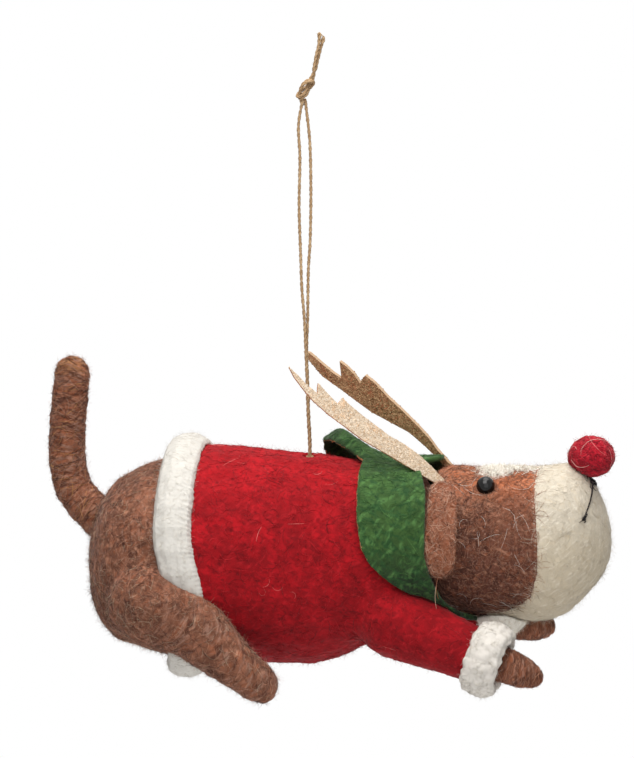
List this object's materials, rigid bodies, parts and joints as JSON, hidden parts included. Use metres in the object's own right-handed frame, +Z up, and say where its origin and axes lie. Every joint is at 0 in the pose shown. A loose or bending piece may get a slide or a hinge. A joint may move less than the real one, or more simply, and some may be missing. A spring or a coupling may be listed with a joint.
{
  "type": "felt christmas ornament",
  "caption": "Needle-felted dog ornament in a red coat with white hem and cuffs, green collar, glitter antlers and red wool nose, hung from a knotted twine loop.",
  "frame": {"origin": "where the twine loop hangs on its hook, just under the knot", "axes": "+X towards the dog's nose, +Y to the dog's left, +Z up along the hanging loop"},
  "size_m": [0.1487, 0.0698, 0.1726],
  "materials": {
    "twine": "twisted jute twine, dry and slightly hairy",
    "brown_wool": "needle-felted wool, brown mixed with tan and rust fibres",
    "red_wool": "dense red felted wool with darker flecks",
    "white_boucle": "white looped wool pile",
    "cream_wool": "cream felted wool with loose fibres",
    "nose_wool": "red felted wool ball",
    "green_felt": "green wool felt sheet, cut edges",
    "glitter_sheet": "pale gold glitter on a felt-backed sheet",
    "black_bead": "polished black bead",
    "black_thread": "black sewing thread",
    "wire": "soft iron craft wire"
  },
  "bodies": {
    "cord_top": {"cord_knot": "twine", "cord_end_a": "twine", "cord_end_b": "twine"},
    "cord_loop": {"loop_strand_a": "twine", "loop_strand_b": "twine"},
    "cord_neck": {"neck_strand_a": "twine", "neck_strand_b": "twine"},
    "dog": {"sewn_stitch": "twine", "torso": "brown_wool", "coat": "red_wool", "hem_trim": "white_boucle", "tail": "brown_wool", "tail_wire": "wire", "head": "brown_wool", "muzzle": "cream_wool", "blaze": "cream_wool", "throat": "cream_wool", "nose": "nose_wool", "mouth_stitch": "black_thread", "collar": "green_felt", "hind_leg_right": "brown_wool", "hind_leg_left": "brown_wool", "hind_wire_right": "wire", "hind_wire_left": "wire", "sleeve_right": "red_wool", "sleeve_left": "red_wool", "foreleg_right": "brown_wool", "foreleg_left": "brown_wool", "fore_wire_right": "wire", "fore_wire_left": "wire", "cuff_right": "white_boucle", "cuff_left": "white_boucle", "ear_right": "brown_wool", "ear_left": "brown_wool", "eye_right": "black_bead", "eye_left": "black_bead", "antler_right": "glitter_sheet", "antler_left": "glitter_sheet"}
  },
  "joints": [
    {"name": "swing", "type": "hinge", "parent": "cord_top", "child": "cord_loop", "pos_m": [0, 0, 0], "axis": [1, 0, 0], "range_deg": [-40, 40]},
    {"name": "spin", "type": "hinge", "parent": "cord_loop", "child": "cord_neck", "pos_m": [0.0017, 0, -0.065], "axis": [0, 0, 1], "range_deg": [-180, 180]},
    {"name": "rock", "type": "hinge", "parent": "cord_neck", "child": "dog", "pos_m": [0.0017, 0, -0.0922], "axis": [0, 1, 0], "range_deg": [-30, 30]}
  ]
}
